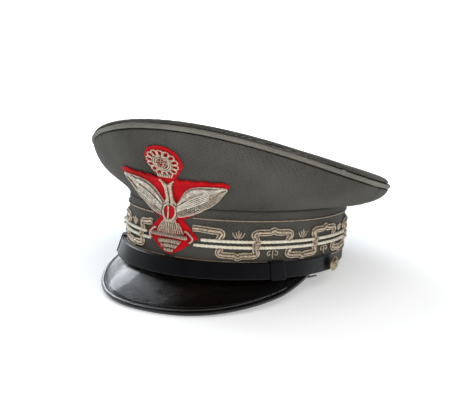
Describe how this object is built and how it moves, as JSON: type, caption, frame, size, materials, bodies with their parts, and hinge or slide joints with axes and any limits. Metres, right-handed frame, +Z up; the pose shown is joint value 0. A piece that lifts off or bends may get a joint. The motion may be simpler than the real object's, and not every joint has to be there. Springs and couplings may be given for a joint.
{
  "type": "military peaked cap",
  "caption": "Peaked uniform cap with a wide raked crown, embroidered band, winged front badge, patent visor, sliding chin strap and side buttons.",
  "frame": {"origin": "centre of the cap's box on the surface it rests on; the cap stands on its rear hem and the visor's front edge", "axes": "+Z up, the visor points along -Y, the wearer's left is +X"},
  "size_m": [0.2506, 0.2751, 0.1433],
  "materials": {
    "wool_twill": "matt grey-green wool twill",
    "satin_lining": "dark satin lining",
    "shield_film": "soft clear celluloid over cloth",
    "spring_wire": "drawn spring wire",
    "fibre_board": "pressed fibre stiffener",
    "sweat_leather": "brown sheepskin",
    "bow_ribbon": "ribbed ribbon",
    "silver_bullion": "aged silver bullion wire",
    "bar_thread": "pale red and silver couched thread",
    "rank_cord": "cream twisted cord",
    "red_felt": "scarlet felt",
    "patent_leather": "crazed black patent",
    "visor_underside": "dull black leathercloth",
    "strap_leather": "satin black leather",
    "button_brass": "aged gilt brass",
    "clip_wire": "drawn brass"
  },
  "bodies": {
    "cap": {"top_panel": "wool_twill", "rim_welt": "wool_twill", "rim_hoop": "spring_wire", "side_panel_front_left": "wool_twill", "side_panel_front_right": "wool_twill", "side_panel_rear_left": "wool_twill", "side_panel_rear_right": "wool_twill", "crown_lining": "satin_lining", "lining_shield": "shield_film", "front_stay": "fibre_board", "band_cloth": "wool_twill", "band_stiffener": "fibre_board", "sweatband": "sweat_leather", "sweatband_bow": "bow_ribbon", "border_cord_top": "silver_bullion", "border_cord_bottom": "silver_bullion", "rank_cord_upper": "rank_cord", "rank_cord_lower": "rank_cord", "meander_embroidery": "silver_bullion", "sprig_embroidery": "silver_bullion", "badge_felt": "red_felt", "badge_wing_left": "silver_bullion", "badge_wing_right": "silver_bullion", "badge_body": "silver_bullion", "badge_shield": "red_felt", "badge_tail": "silver_bullion", "badge_wreath": "silver_bullion", "badge_bar": "bar_thread", "visor_shell": "patent_leather", "visor_board": "fibre_board", "visor_lining": "visor_underside", "visor_binding": "patent_leather"},
    "chin_strap": {"strap_left": "strap_leather", "strap_right": "strap_leather", "keeper_left": "strap_leather", "keeper_right": "strap_leather"},
    "button_left": {"button_cap_left": "button_brass", "button_shank_left": "button_brass", "button_clip_left": "clip_wire"},
    "button_right": {"button_cap_right": "button_brass", "button_shank_right": "button_brass", "button_clip_right": "clip_wire"}
  },
  "joints": [
    {"name": "strap_swing", "type": "hinge", "parent": "cap", "child": "chin_strap", "pos_m": [0, -0.01062, 0.01812], "axis": [1, 0, 0], "range_deg": [0, 100], "deforming": ["strap_left", "strap_right", "keeper_left", "keeper_right"]},
    {"name": "button_left_turn", "type": "hinge", "parent": "cap", "child": "button_left", "pos_m": [0.0921, -0.01062, 0.01812], "axis": [1, 0, 0], "continuous": true},
    {"name": "button_right_turn", "type": "hinge", "parent": "cap", "child": "button_right", "pos_m": [-0.0921, -0.01062, 0.01812], "axis": [-1, 0, 0], "continuous": true}
  ]
}
